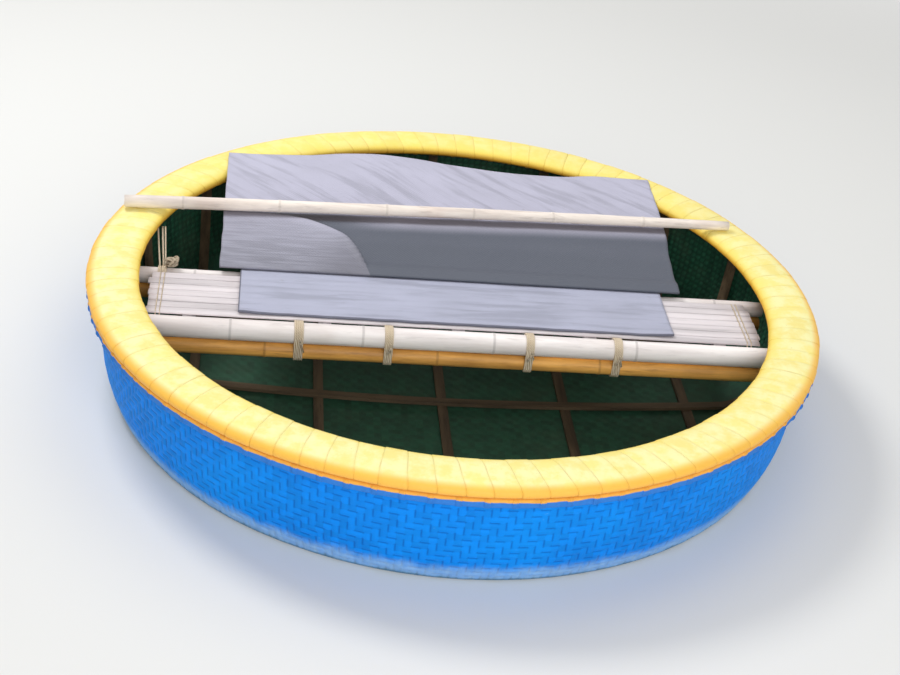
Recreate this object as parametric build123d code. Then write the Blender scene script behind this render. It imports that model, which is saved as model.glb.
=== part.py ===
from build123d import *
import os
from math import cos, degrees, radians, sin, sqrt, tan

# Round woven bamboo basket boat, in millimetres.
# The origin is the centre of the waterline plane. X runs along the bench, Y from the
# open front well to the mat behind the bench, and Z is up.

# Rim
rim_radius = 1000.0
rim_width = 139.0
rim_top = 325.0
cap_height = 35.0
cap_edge = 12.0
cap_flat = 46.0
wrap_count = 96
seam_width = 5.0
seam_depth = 2.5
hoop_width = 32.0
hoop_height = 27.0
hoop_setback = 2.7

# Hull skin
hull_wall = 9.0
side_flare = 3.5
bilge_top = 125.0
bilge_radius = 300.0
bilge_turn = 25.0
turn_radius = 140.0
dome_slope = 5.0

# Ribs
rib_width = 28.0
rib_thickness = 9.0
rib_edge_distance = 255.0
ribs_each_way = 5

# Bench
rail_level = 232.0
deck_drop = 5.0
front_rail_diameter = 58.0
front_rail_y = -195.0
back_rail_diameter = 46.0
back_rail_y = 88.0
back_rail_drop = 6.0
slat_end_gap = 21.0
slat_width = 29.0
slat_thickness = 8.0
slat_count = 7
crossbar_width = 34.0
crossbar_thickness = 14.0
crossbar_end_distance = 120.0
crossbar_count = 5
tenon_length = 14.0
tenon_thickness = 8.0
beam_diameter = 46.0
lashing_cord = 5.0
lashing_turns_width = 26.0
lashing_from_middle = 190.0
lashing_beside_crossbar = 70.0

# Mats and pole
seat_mat_length = 1184.0
seat_mat_depth = 248.0
seat_mat_thickness = 8.0
seat_mat_margin = 11.0
mat_overlap = 14.0
rear_mat_width = 1300.0
rear_mat_thickness = 10.0
rear_mat_dip = 30.0
rear_mat_dip_share = 0.6
rear_mat_lead = 19.0
rear_mat_rest = 155.0
rear_mat_bend = 200.0
pole_left_diameter = 37.0
pole_right_diameter = 28.0
pole_left_inset = 70.0
pole_right_inset = 110.0
pole_left_ahead = 245.0
pole_right_ahead = 153.0

# Fits
seat_gap = 0.3
tie_gap = 0.5

# Derived places
cap_underside = rim_top - cap_height
hoop_underside = cap_underside - hoop_height
cap_inner_radius = rim_radius - rim_width
outer_hoop_inner = rim_radius - hoop_setback - hoop_width
hull_top_radius = outer_hoop_inner - seat_gap
wall_across = hull_wall / cos(radians(side_flare))
hoop_lean = hoop_height * tan(radians(side_flare))
inner_hoop_outer = hull_top_radius - wall_across - hoop_lean - seat_gap
front_rail_top = rail_level + front_rail_diameter / 2
deck_top = front_rail_top - deck_drop
crossbar_top = deck_top - slat_thickness
slat_length = 2 * (cap_inner_radius - slat_end_gap)
crossbar_spread = slat_length - 2 * crossbar_end_distance
rib_spread = 2 * (hull_top_radius - rib_edge_distance)
rear_mat_half_width = rear_mat_width / 2
rear_mat_rise_y = sqrt(cap_inner_radius**2 - rear_mat_half_width**2) - rear_mat_lead
# The pole's ends lie ahead of the line where the rear mat meets the rim
pole_left_y = rear_mat_rise_y - pole_left_ahead
pole_right_y = rear_mat_rise_y - pole_right_ahead


def hull_line(inset):
    """The hull's section from rim to keel, moved inwards by the inset."""
    flare = radians(side_flare)
    top = (hull_top_radius - inset / cos(flare), cap_underside - seat_gap)
    side_drop = cap_underside - bilge_top
    side_end = (
        hull_top_radius - side_drop * sin(flare) / cos(flare) - inset * cos(flare),
        bilge_top + inset * sin(flare),
    )
    down = (-sin(flare), -cos(flare))
    side = Line(top, side_end)
    bilge = JernArc(side @ 1, down, bilge_radius - inset, -bilge_turn)
    turn_sweep = 90 - side_flare - bilge_turn - dome_slope
    turn = JernArc(bilge @ 1, bilge % 1, turn_radius - inset, -turn_sweep)
    dome_radius = (turn @ 1).X / sin(radians(dome_slope))
    dome = JernArc(turn @ 1, turn % 1, dome_radius, -dome_slope)
    return [side, bilge, turn, dome]


def bowl(inset):
    """A solid filling the hull inside its section at this inset."""
    edges = hull_line(inset)
    top = edges[0] @ 0
    bottom = edges[-1] @ 1
    edges.append(Line(bottom, (0, top.Y)))
    edges.append(Line((0, top.Y), top))
    return revolve(Plane.XZ * make_face(edges), Axis.Z)


def ring(outline):
    """A full turn of a section drawn as radius and height."""
    return revolve(Plane.XZ * outline, Axis.Z)


def hoop(inner, outer, low, high, slope):
    """A hoop with a section sloped off at its lower corners."""
    box = Pos((inner + outer) / 2, (low + high) / 2) * Rectangle(outer - inner, high - low)
    return ring(chamfer(box.vertices().group_by(Axis.Y)[0], slope))


def cap_section(inset):
    """The cap's flattened half round: flat crown, round shoulders, thin edges."""
    middle = rim_radius - rim_width / 2
    low = cap_underside
    brow = low + cap_edge - inset
    outer_crown = (middle + cap_flat / 2, rim_top - inset)
    inner_crown = (middle - cap_flat / 2, rim_top - inset)
    left, right = cap_inner_radius + inset, rim_radius - inset
    edges = [
        Line((left, low), (right, low)),
        Line((right, low), (right, brow)),
        TangentArc(outer_crown, (right, brow), tangent=(1, 0)),
        Line(outer_crown, inner_crown),
        TangentArc(inner_crown, (left, brow), tangent=(-1, 0)),
        Line((left, brow), (left, low)),
    ]
    return make_face(edges)


def wrapped_cap():
    """The cap as a ring of wrapped bands with a shallow seam between neighbours.

    Sectors are doubled and joined, so that few joins make the whole ring.
    """
    pitch = 360 / wrap_count
    seam = degrees(seam_width / rim_radius)
    band = revolve(Plane.XZ * cap_section(0), Axis.Z, revolution_arc=pitch - seam)
    valley = revolve(Plane.XZ * cap_section(seam_depth), Axis.Z, revolution_arc=-seam)
    sector, size = band + valley, 1
    whole, filled = None, 0
    left = wrap_count
    while left:
        if left % 2:
            piece = Rot(0, 0, pitch * filled) * sector
            whole = whole.fuse(piece) if whole else piece
            filled += size
        left //= 2
        if left:
            sector = sector.fuse(Rot(0, 0, pitch * size) * sector)
            size *= 2
    return whole


def rib(offset, along_x, layer):
    """One bent rib, cut from a layer that follows the hull's inner face."""
    outer = hull_wall + seat_gap + layer * (rib_thickness + seat_gap)
    size = 2 * rim_radius
    height = hoop_underside + size
    middle_z = hoop_underside - height / 2
    if along_x:
        slab = Pos(0, offset, middle_z) * Box(size, rib_width, height)
    else:
        slab = Pos(offset, 0, middle_z) * Box(rib_width, size, height)
    return (bowl(outer) - bowl(outer + rib_thickness)) & slab


def wall_radius(level):
    """The inner face's radius at a level above the bilge."""
    flare = radians(side_flare)
    return hull_top_radius - (cap_underside - level) * tan(flare) - hull_wall / cos(flare)


def half_span(y, radius, level):
    """Half the length of a level pole whose ends meet the hull's inner face."""
    reach = wall_radius(level - radius) - seat_gap
    return sqrt(reach**2 - (abs(y) + radius) ** 2)


def pole_along_x(y, diameter, level):
    """A level round pole from wall to wall."""
    radius = diameter / 2
    half = half_span(y, radius, level)
    return Pos(0, y, level) * Rot(0, 90, 0) * Cylinder(radius, 2 * half)


# Levels of the rear rail and of the beams below both rails
back_rail_level = deck_top - back_rail_drop - back_rail_diameter / 2
front_beam_level = rail_level - front_rail_diameter / 2 - beam_diameter / 2 - seat_gap
back_beam_level = back_rail_level - back_rail_diameter / 2 - beam_diameter / 2 - seat_gap
gap_front = front_rail_y + front_rail_diameter / 2
gap_back = back_rail_y - back_rail_diameter / 2
# The first slat lies over the curve of the front rail's lashings, just clear of them
lashing_round = front_rail_diameter / 2 + tie_gap + lashing_cord
slat_over_rail = deck_top - slat_thickness - rail_level
deck_front = front_rail_y + sqrt(lashing_round**2 - slat_over_rail**2) + tie_gap
deck_back = gap_back - lashing_cord - 2 * tie_gap
crossbar_places = [
    crossbar_spread * (i / (crossbar_count - 1) - 0.5) for i in range(crossbar_count)
]
# Two lashings stand either side of the middle, and two beside the next crossbars out
lashing_places = (
    crossbar_places[1] - lashing_beside_crossbar,
    -lashing_from_middle,
    lashing_from_middle,
    crossbar_places[-2] + lashing_beside_crossbar,
)


def crossbar_tenons(x, clearance=0.0):
    """The thinner bar whose ends sit in both rails."""
    front = gap_front - tenon_length - clearance
    back = gap_back + tenon_length + clearance
    level = crossbar_top - crossbar_thickness + tenon_thickness / 2
    size = (crossbar_width + 2 * clearance, back - front, tenon_thickness + 2 * clearance)
    return Pos(x, (front + back) / 2, level) * Box(*size)


def crossbar(x):
    """A bar under the slats, with a shoulder at each tenon."""
    front = gap_front + seat_gap
    back = gap_back - seat_gap
    level = crossbar_top - crossbar_thickness / 2
    bar = Pos(x, (front + back) / 2, level) * Box(crossbar_width, back - front, crossbar_thickness)
    return bar + crossbar_tenons(x)


def rail(y, diameter, level):
    """A rail with a mortise for each crossbar."""
    body = pole_along_x(y, diameter, level)
    for x in crossbar_places:
        body -= crossbar_tenons(x, seat_gap)
    return body


def slat(index):
    """One slat of the deck, with its long edges rounded."""
    room = deck_back - deck_front
    pitch = room / slat_count
    y = deck_front + pitch * (index + 0.5)
    body = Pos(0, y, deck_top - slat_thickness / 2) * Box(slat_length, slat_width, slat_thickness)
    return fillet(body.edges().filter_by(Axis.X).group_by(Axis.Z)[-1], slat_thickness / 3)


def lashing(x, y, upper, upper_level, lower, lower_level):
    """Cord turns round a rail and the beam below it."""
    top = upper_level + upper / 2 - max(upper, lower) / 2
    low = lower_level - lower / 2 + max(upper, lower) / 2
    inner = max(upper, lower) + 2 * tie_gap
    outer = inner + 2 * lashing_cord
    length = top - low
    band = SlotCenterToCenter(length, outer) - SlotCenterToCenter(length, inner)
    solid = extrude(band, lashing_turns_width / 2, both=True)
    return Pos(x, y, (top + low) / 2) * Rot(0, 90, 0) * solid


def seat_mat():
    """The flat mat on the slats, between the front rail and the rear mat."""
    y = deck_front + seat_mat_margin + seat_mat_depth / 2
    z = deck_top + seat_gap + seat_mat_thickness / 2
    body = Pos(0, y, z) * Box(seat_mat_length, seat_mat_depth, seat_mat_thickness)
    return fillet(body.edges().filter_by(Axis.Z), 6)


def rear_mat():
    """The loose mat from the back rail, under the pole, to the top of the rim."""
    half = rear_mat_thickness / 2
    start_y = deck_front + seat_mat_margin + seat_mat_depth - mat_overlap
    start_z = deck_top + seat_mat_thickness + 2 * seat_gap + half
    dip_y = start_y + (rear_mat_rise_y - start_y) * rear_mat_dip_share
    on_rim = rim_top + seat_gap + half
    path = FilletPolyline(
        (0, start_y, start_z),
        (0, dip_y, rim_top - rear_mat_dip),
        (0, rear_mat_rise_y, on_rim),
        (0, rear_mat_rise_y + rear_mat_rest, on_rim),
        radius=rear_mat_bend,
    )
    across = Plane(origin=path @ 0, x_dir=(1, 0, 0), z_dir=path % 0)
    return sweep(across * Rectangle(rear_mat_width, rear_mat_thickness), path)


def pole():
    """The tapered pole that lies across the rim."""
    bed = rim_top + seat_gap
    left = Vector(pole_left_inset - rim_radius, pole_left_y, bed + pole_left_diameter / 2)
    right = Vector(rim_radius - pole_right_inset, pole_right_y, bed + pole_right_diameter / 2)
    axis = Plane(origin=left, z_dir=right - left)
    length = (right - left).length
    body = Cone(
        pole_left_diameter / 2,
        pole_right_diameter / 2,
        length,
        align=(Align.CENTER, Align.CENTER, Align.MIN),
    )
    return axis * body


def make_rim(parts):
    """The cap and the two hoops that grip the hull's upper edge."""
    parts["rim_cap"] = wrapped_cap()
    outer = outer_hoop_inner + hoop_width
    parts["outer_rim_hoop"] = hoop(
        outer_hoop_inner, outer, hoop_underside, cap_underside, hoop_width / 3
    )
    inner = inner_hoop_outer - hoop_width
    parts["inner_rim_hoop"] = hoop(
        inner, inner_hoop_outer, hoop_underside, cap_underside, hoop_width / 3
    )


def make_hull(parts):
    """The woven skin and its two crossing layers of ribs."""
    parts["woven_hull"] = bowl(0) - bowl(hull_wall)
    for i in range(ribs_each_way):
        place = rib_spread * (i / (ribs_each_way - 1) - 0.5)
        parts[f"lower_rib_{i + 1}"] = rib(place, False, 0)
        parts[f"upper_rib_{i + 1}"] = rib(place, True, 1)


def make_bench(parts):
    """Two rails with crossbars, slats, beams below and their lashings."""
    parts["front_rail"] = rail(front_rail_y, front_rail_diameter, rail_level)
    parts["back_rail"] = rail(back_rail_y, back_rail_diameter, back_rail_level)
    parts["front_beam"] = pole_along_x(front_rail_y, beam_diameter, front_beam_level)
    parts["back_beam"] = pole_along_x(back_rail_y, beam_diameter, back_beam_level)
    for i, x in enumerate(crossbar_places):
        parts[f"crossbar_{i + 1}"] = crossbar(x)
    for i in range(slat_count):
        parts[f"slat_{i + 1}"] = slat(i)
    for i, x in enumerate(lashing_places):
        parts[f"front_lashing_{i + 1}"] = lashing(
            x, front_rail_y, front_rail_diameter, rail_level, beam_diameter, front_beam_level
        )
        parts[f"back_lashing_{i + 1}"] = lashing(
            x, back_rail_y, back_rail_diameter, back_rail_level, beam_diameter, back_beam_level
        )


def make_loose_gear(parts):
    """The mats and the pole."""
    parts["seat_mat"] = seat_mat()
    parts["rear_mat"] = rear_mat()
    parts["pole"] = pole()


parts = {}
make_rim(parts)
make_hull(parts)
make_bench(parts)
make_loose_gear(parts)

os.makedirs("parts", exist_ok=True)
for name, shape in parts.items():
    export_step(shape, f"parts/{name}.step")
    print(name, round(shape.volume / 1e6, 3), "litres")
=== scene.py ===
"""Round woven basket coracle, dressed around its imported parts.

Run as a script. Lengths are in metres. X runs along the bench, Y towards the mat behind
it, Z is up, and the water's surface is at zero.
"""
import math
import random

import bmesh
import bpy
from mathutils import Matrix, Quaternion, Vector, noise


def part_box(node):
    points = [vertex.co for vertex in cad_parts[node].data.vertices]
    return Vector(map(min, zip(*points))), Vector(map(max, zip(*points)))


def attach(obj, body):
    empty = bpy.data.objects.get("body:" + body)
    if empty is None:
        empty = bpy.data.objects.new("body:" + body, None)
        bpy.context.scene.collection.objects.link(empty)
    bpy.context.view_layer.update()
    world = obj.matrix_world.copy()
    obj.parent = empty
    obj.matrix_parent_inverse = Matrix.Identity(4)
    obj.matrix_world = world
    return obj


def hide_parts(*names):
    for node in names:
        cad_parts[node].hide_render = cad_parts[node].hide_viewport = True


bl_info = {
    "name": "Basket coracle",
    "version": (1, 0, 0),
    "blender": (4, 5, 0),
    "location": "3D View > Sidebar > Coracle",
    "description": "Builds the woven skin, wrapped rim, bench, mats and pole of a coracle",
    "category": "Add Mesh",
}

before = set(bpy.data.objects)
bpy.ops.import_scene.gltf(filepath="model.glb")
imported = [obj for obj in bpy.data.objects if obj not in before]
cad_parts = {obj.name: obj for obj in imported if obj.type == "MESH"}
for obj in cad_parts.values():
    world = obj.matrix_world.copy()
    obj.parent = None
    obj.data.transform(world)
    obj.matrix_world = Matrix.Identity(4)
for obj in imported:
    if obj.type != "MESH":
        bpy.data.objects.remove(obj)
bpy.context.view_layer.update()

TURN = 2 * math.pi

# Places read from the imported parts
rim_low, rim_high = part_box("rim_cap")
hull_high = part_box("woven_hull")[1]
slat_low, slat_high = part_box("slat_1")
last_slat_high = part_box("slat_7")[1]
pole_low, pole_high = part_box("pole")
deck_top = slat_high.z

# Places that the boxes don't give
cap_width = 0.139
cap_brow = 0.302
bilge_top = 0.125
skin_wall = 0.009
pole_radii = (0.0185, 0.014)
side_flare = math.radians(3.5)
# Hull arcs below the straight side: radius, first and last lean of the outward normal
bilge_arc = (0.300, side_flare, math.radians(28.5))
turn_arc = (0.140, math.radians(28.5), math.radians(85))
dome_leans = (math.radians(85), math.radians(90))


# ---- Values a user would change


def count_value(name, description, default):
    """A whole number of like things."""
    return bpy.props.IntProperty(name=name, description=description, default=default)


def length_value(name, description, default):
    """A length in metres."""
    return bpy.props.FloatProperty(
        name=name, description=description, default=default, unit="LENGTH"
    )


class CoracleShape(bpy.types.PropertyGroup):
    """Sizes of the woven, wrapped and lashed work."""

    weave_cells: count_value("Weave cells", "Strips counted round the wall, a multiple of 4", 308)
    weave_rows: count_value("Weave rows", "Strips counted down the wall to the waterline", 16)
    weave_relief: length_value("Weave relief", "How far a strip stands over its neighbour", 0.0017)
    rim_wraps: count_value("Rim wraps", "Bands wrapped round the rim", 96)
    seam_depth: length_value("Seam depth", "Depth of the seam between two wraps", 0.0024)
    seam_slant: bpy.props.FloatProperty(
        name="Seam slant", description="Share of a wrap by which its seam runs askew",
        default=0.16, subtype="FACTOR",
    )
    lashing_turns: count_value("Lashing turns", "Turns of cord round a rail and its beam", 5)
    slat_wander: length_value("Slat wander", "How far a slat strays from straight", 0.0014)
    mat_arch: length_value("Mat arch", "Rise of the rear mat's free edge", 0.027)
    mat_wrinkle: length_value("Mat wrinkle", "Height of the rear mat's wrinkles", 0.0045)


def colour_value(name, description, default):
    """A colour property, written as it should look on screen."""
    return bpy.props.FloatVectorProperty(
        name=name, description=description, default=default, subtype="COLOR_GAMMA",
        size=3, min=0, max=1,
    )


class CoraclePaint(bpy.types.PropertyGroup):
    """Colours of the paint, wood, cord and cloth."""

    hull: colour_value("Hull paint", "Paint on the outside of the skin", (0.03, 0.53, 0.92))
    inside: colour_value("Inside", "Coating on the inside of the skin", (0.15, 0.36, 0.27))
    rim: colour_value("Rim", "Paint on the wrapped rim", (0.97, 0.87, 0.38))
    # Painted highlight: the pale yellow of the rim's crown
    rim_crown_highlight: colour_value("Rim crown", "Sun-bleached paint on the crown", (0.97, 0.95, 0.70))
    # Painted shade: the deeper golden yellow of the rim's sides
    rim_shaded: colour_value("Rim sides", "Deeper paint on both sides", (0.96, 0.72, 0.28))
    hoop: colour_value("Hoops", "Paint on the hoops and their bindings", (0.97, 0.71, 0.32))
    rib: colour_value("Ribs", "Bent strips inside the skin", (0.43, 0.36, 0.28))
    slat: colour_value("Slats", "Bleached slats of the bench", (0.87, 0.84, 0.85))
    rail: colour_value("Rails", "Peeled rails of the bench", (0.97, 0.93, 0.92))
    beam: colour_value("Beams", "Beams below the rails", (0.97, 0.68, 0.35))
    cord: colour_value("Cord", "Cord of the lashings", (0.93, 0.88, 0.80))
    seat_mat: colour_value("Seat mat", "Mat on the bench", (0.71, 0.72, 0.80))
    rear_mat: colour_value("Rear mat", "Mat behind the bench", (0.75, 0.745, 0.82))
    # Painted shade: the mat's grey in front of the pole, darker than the mat behind it
    rear_front_shade: colour_value("Rear mat front", "Panel in front of the pole", (0.52, 0.52, 0.57))
    # Painted shade on the mat's slope beyond the fold
    rear_shade: colour_value("Rear mat slope", "Dark slope beyond the fold", (0.32, 0.34, 0.385))
    pole: colour_value("Pole", "Pole laid across the rim", (0.98, 0.92, 0.88))
    floor: colour_value("Floor", "Plain floor at the waterline", (0.90, 0.90, 0.89))


# ---- Materials


class Socket:
    """An output socket on which Python's operators add Math nodes."""

    def __init__(self, graph, source):
        self.graph = graph
        self.source = source

    def math(self, operation, *others):
        return self.graph.node("ShaderNodeMath", {"operation": operation}, [self, *others])

    def __add__(self, other):
        return self.math("ADD", other)

    def __sub__(self, other):
        return self.math("SUBTRACT", other)

    def __rsub__(self, other):
        return self.graph.node("ShaderNodeMath", {"operation": "SUBTRACT"}, [other, self])

    def __mul__(self, other):
        return self.math("MULTIPLY", other)

    __radd__ = __add__
    __rmul__ = __mul__

    def step(self, low, high):
        """Smooth rise from 0 at low to 1 at high."""
        settings = {"interpolation_type": "SMOOTHSTEP"}
        return self.graph.node("ShaderNodeMapRange", settings, [self, low, high, 0.0, 1.0])


class Graph:
    """A node tree, and the one method that adds nodes to it."""

    def __init__(self, tree):
        self.tree = tree

    def join(self, socket, value):
        """Links a socket to another, or sets it to a plain value."""
        if isinstance(value, Socket):
            self.tree.links.new(value.source, socket)
        else:
            socket.default_value = value

    def node(self, kind, settings, inputs, output=0):
        made = self.tree.nodes.new(kind)
        for key, value in settings.items():
            setattr(made, key, value)
        pairs = inputs.items() if isinstance(inputs, dict) else enumerate(inputs)
        for key, value in pairs:
            self.join(made.inputs[key], value)
        return Socket(self, made.outputs[output])

    def show(self, output_node, surface):
        """What the tree's own output node shows."""
        self.join(self.tree.nodes[output_node].inputs["Surface"], surface)


class Finish(Graph):
    """A material with one principled shader and the nodes that feed it."""

    def __init__(self, name, **constants):
        self.material = bpy.data.materials.new(name)
        self.material.use_nodes = True
        super().__init__(self.material.node_tree)
        self.shader = self.tree.nodes["Principled BSDF"]
        for key, value in constants.items():
            self.feed(key.replace("_", " ").title().replace("Ior", "IOR"), value)

    def feed(self, socket, value):
        self.join(self.shader.inputs[socket], value)

    def place(self, output="Object", scale=(1, 1, 1), turn=(0, 0, 0)):
        """Object or UV coordinates, turned and then stretched by a Mapping node."""
        where = self.node("ShaderNodeTexCoord", {}, {}, output)
        inputs = {"Vector": where, "Scale": [1 / part for part in scale], "Rotation": turn}
        return self.node("ShaderNodeMapping", {"vector_type": "TEXTURE"}, inputs)

    def parts(self, vector):
        """The three numbers of a vector."""
        split = self.node("ShaderNodeSeparateXYZ", {}, [vector])
        outputs = split.source.node.outputs
        return [Socket(self, outputs[i]) for i in range(3)]

    def cloud(self, vector, scale, detail=2.0, rough=0.5):
        """Soft noise from 0 to 1."""
        settings = {"noise_dimensions": "3D"}
        inputs = {"Vector": vector, "Scale": scale, "Detail": detail, "Roughness": rough}
        return self.node("ShaderNodeTexNoise", settings, inputs)

    def attribute(self, name):
        """A number stored on the mesh."""
        return self.node("ShaderNodeAttribute", {"attribute_name": name}, {}, "Fac")

    def cell(self, across, along):
        """One random number for each whole cell of two counts."""
        counts = [across.math("FLOOR"), along.math("FLOOR"), 0.0]
        pair = self.node("ShaderNodeCombineXYZ", {}, counts)
        return self.node("ShaderNodeTexWhiteNoise", {"noise_dimensions": "2D"}, {"Vector": pair})

    def mix(self, share, low, high):
        """The low colour, turned to the high one by the share."""
        settings = {"data_type": "RGBA", "blend_type": "MIX"}
        return self.node("ShaderNodeMix", settings, {0: share, 6: low, 7: high}, 2)

    def tint(self, share, colour, low, high):
        """A screen colour between two levels of its brightness."""
        return self.mix(share, shade(colour, low), shade(colour, high))

    def coat(self, colour, *layers):
        """Lays layers over the colour in turn, as the base colour.

        A layer is its share, its screen colour or socket, and perhaps a level of brightness.
        """
        for share, tone, *level in layers:
            tone = tone if isinstance(tone, Socket) else shade(tone, *level)
            colour = self.mix(share, colour, tone)
        self.feed("Base Color", colour)
        return colour

    def bump(self, height, distance, strength):
        inputs = {"Height": height, "Distance": distance, "Strength": strength}
        self.feed("Normal", self.node("ShaderNodeBump", {}, inputs))


def shade(colour, level=1.0):
    """A screen colour made linear, at a share of its brightness."""
    seen = [min(1.0, part * level) for part in colour]
    linear = [c / 12.92 if c <= 0.04045 else ((c + 0.055) / 1.055) ** 2.4 for c in seen]
    return (*linear, 1.0)


def hull_paint(paint, shape, rows_in_all):
    """Gloss paint over a woven wall, with painted shade in the gaps, pale and grey where the water
    laps.
    """
    finish = Finish("hull_blue_paint", specular_ior_level=0.12)
    across, along, _ = finish.parts(finish.place("UV"))
    strip = finish.cell(across * shape.weave_cells, along * (rows_in_all / 3.0))
    spot = finish.place()
    height = finish.parts(spot)[2]
    relief = finish.attribute("relief")
    patch = finish.cloud(spot, 4.0, 4.0)
    grit = finish.cloud(spot, 60.0, 4.0, 0.7)
    # Painted shade: the weave's low gaps are darkened, and grit roughens the edge of the mask
    gap = 1.0 - (relief + (grit - 0.5) * 0.5).step(-0.75, 0.25)
    rub = finish.cloud(finish.place(scale=(1, 1, 3)), 30.0, 5.0, 0.7).step(0.64, 0.78)
    edge = finish.cloud(finish.place(scale=(1, 1, 0.4)), 16.0, 6.0, 0.7) * 0.050
    scum = 1.0 - (height - edge).step(0.000, 0.042)
    silt = 1.0 - (height - edge * 0.5).step(-0.012, 0.004)
    finish.coat(
        finish.tint(strip, paint.hull, 0.93, 1.03),
        (patch.step(0.42, 0.72) * 0.35, (0.03, 0.61, 0.98)),
        (gap * 0.55, (0.01, 0.27, 0.60)),
        (rub * relief.step(0.3, 0.9) * 0.5, (0.45, 0.74, 0.95)),
        (scum * (0.25 + 0.7 * grit), (0.66, 0.79, 0.88)),
        (silt * 0.7, (0.22, 0.36, 0.40)),
    )
    finish.feed("Roughness", 0.42 + 0.22 * patch + 0.2 * scum)
    fibre = finish.cloud(finish.place("UV", (900, 30, 1)), 3.0, 3.0)
    finish.bump(fibre + relief * 0.8, 0.0009, 0.6)
    return finish.material


def inside_coat(paint):
    """Dark green coat over the weave, with painted shade where the weave lies low, dull with dust,
    silt and old water marks.
    """
    finish = Finish("inside_green_coat", specular_ior_level=0.4)
    spot = finish.place()
    x, y, height = finish.parts(spot)
    patch = finish.cloud(spot, 7.0, 5.0, 0.6)
    # On the bottom the strips cross at right angles, about 20 mm apart
    pitch = 157.0
    bottom = 1.0 - height.step(-0.09, -0.05)
    crossing = 0.4 + 0.5 * (x * pitch).math("SINE") * (y * pitch).math("SINE")
    weave = finish.attribute("relief") * (1.0 - bottom) + crossing * bottom
    strip = finish.cell(x * 50.0, y * 50.0)
    silt = 1.0 - (height + patch * 0.05).step(-0.05, 0.02)
    finish.coat(
        finish.tint(strip * 0.6 + patch * 0.4, paint.inside, 0.80, 1.2),
        # Painted shade where the weave lies low
        ((1.0 - weave.step(-0.7, 0.3)) * 0.45, (0.07, 0.12, 0.09)),
        (patch.step(0.45, 0.75) * 0.45, (0.30, 0.36, 0.28)),
        (silt * 0.20, (0.33, 0.34, 0.28)),
    )
    finish.feed("Roughness", 0.45 + 0.35 * patch)
    finish.bump(weave, 0.0016, 0.8)
    return finish.material


def rim_paint(paint, shape):
    """Yellow paint over wrapped bands, with a painted highlight on the crown and golden painted
    shade on both sides.
    """
    finish = Finish("rim_yellow_paint", specular_ior_level=0.35)
    across, around, _ = finish.parts(finish.place("UV"))
    across = across * shape.rim_wraps
    wrap = finish.cell(across, around * 0.0)
    spot = finish.place()
    x, y, height = finish.parts(spot)
    radius = (x * x + y * y).math("SQRT")
    patch = finish.cloud(spot, 5.0, 4.0)
    blotch = finish.cloud(spot, 21.0, 4.0, 0.6)
    grit = finish.cloud(spot, 110.0, 4.0, 0.7)
    # Painted highlight: the crown is paler in patches, and less so on the far side
    crown = height.step(rim_high.z - 0.016, rim_high.z - 0.003)
    crown_highlight = crown * (0.45 + 0.55 * blotch.step(0.35, 0.65)) * (1.0 - 0.5 * y.step(0.0, 0.8))
    # Painted shade: golden on the outer side and orange at its foot, deep orange below the inner
    # edge; the inner edge keeps more plain yellow and less painted highlight
    inner = 1.0 - radius.step(rim_high.x - cap_width, rim_high.x - cap_width * 0.66)
    outer = (radius + (blotch - 0.5) * 0.014).step(rim_high.x - 0.028, rim_high.x - 0.004)
    brow_shade = outer * (1.0 - height.step(rim_low.z + 0.004, rim_low.z + 0.022))
    under = inner * (1.0 - height.step(rim_low.z + 0.004, rim_low.z + 0.030))
    worn = finish.cloud(finish.place("UV", (300, 6, 1)), 3.0, 5.0, 0.7).step(0.62, 0.74)
    middle = (across.math("FRACT") - 0.5).math("ABSOLUTE")
    # The seams are darkened: dirt, and painted shade in the grooves between wraps
    seam = (middle + (grit - 0.5) * 0.035).step(0.462, 0.502)
    stain = middle.step(0.25, 0.5) * blotch.step(0.46, 0.66)
    chip = grit.step(0.66, 0.72) * blotch.step(0.50, 0.62)
    finish.coat(
        finish.tint(wrap, paint.rim, 0.96, 1.02),
        (crown_highlight * 0.95, paint.rim_crown_highlight),
        (inner * 0.45, paint.rim),
        (under * 0.85, (0.98, 0.67, 0.16)),
        (outer * 0.85, paint.rim_shaded, 1.02),
        (brow_shade * 0.85, paint.hoop),
        (worn * 0.30, (0.90, 0.80, 0.56)),
        (seam * (0.20 + 0.55 * patch), (0.62, 0.48, 0.20)),
        (stain * 0.32, (0.86, 0.66, 0.26)),
        (chip * 0.55, (0.62, 0.48, 0.24)),
    )
    finish.feed("Roughness", 0.38 + 0.26 * patch + 0.25 * seam)
    fibre = finish.cloud(finish.place("UV", (2600, 6, 1)), 1.0, 3.0)
    finish.bump(fibre + grit * 0.5 + blotch * 0.8, 0.0014, 0.6)
    return finish.material


def hoop_paint(name, paint, lapped):
    """Orange paint over cane and cord, lapped by the hull's blue on the outer hoop."""
    finish = Finish(name, specular_ior_level=0.15 if lapped else 0.4)
    spot = finish.place()
    patch = finish.cloud(spot, 26.0, 4.0)
    grit = finish.cloud(spot, 120.0, 3.0, 0.7)
    layers = [
        (grit.step(0.58, 0.74) * 0.5, (0.98, 0.82, 0.42)),
        (patch.step(0.56, 0.74) * 0.25, (0.58, 0.38, 0.16)),
    ]
    if lapped:
        height = finish.parts(spot)[2] + (patch - 0.5) * 0.010
        lap = 1.0 - height.step(rim_low.z - 0.009, rim_low.z - 0.006)
        blue = finish.tint(grit, paint.hull, 0.82, 0.98)
        layers.append((lap * 0.96, blue))
    finish.coat(finish.tint(patch, paint.hoop, 0.88, 1.06), *layers)
    finish.feed("Roughness", 0.45 + 0.3 * patch)
    finish.bump(grit, 0.0010, 0.6)
    return finish.material


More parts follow.
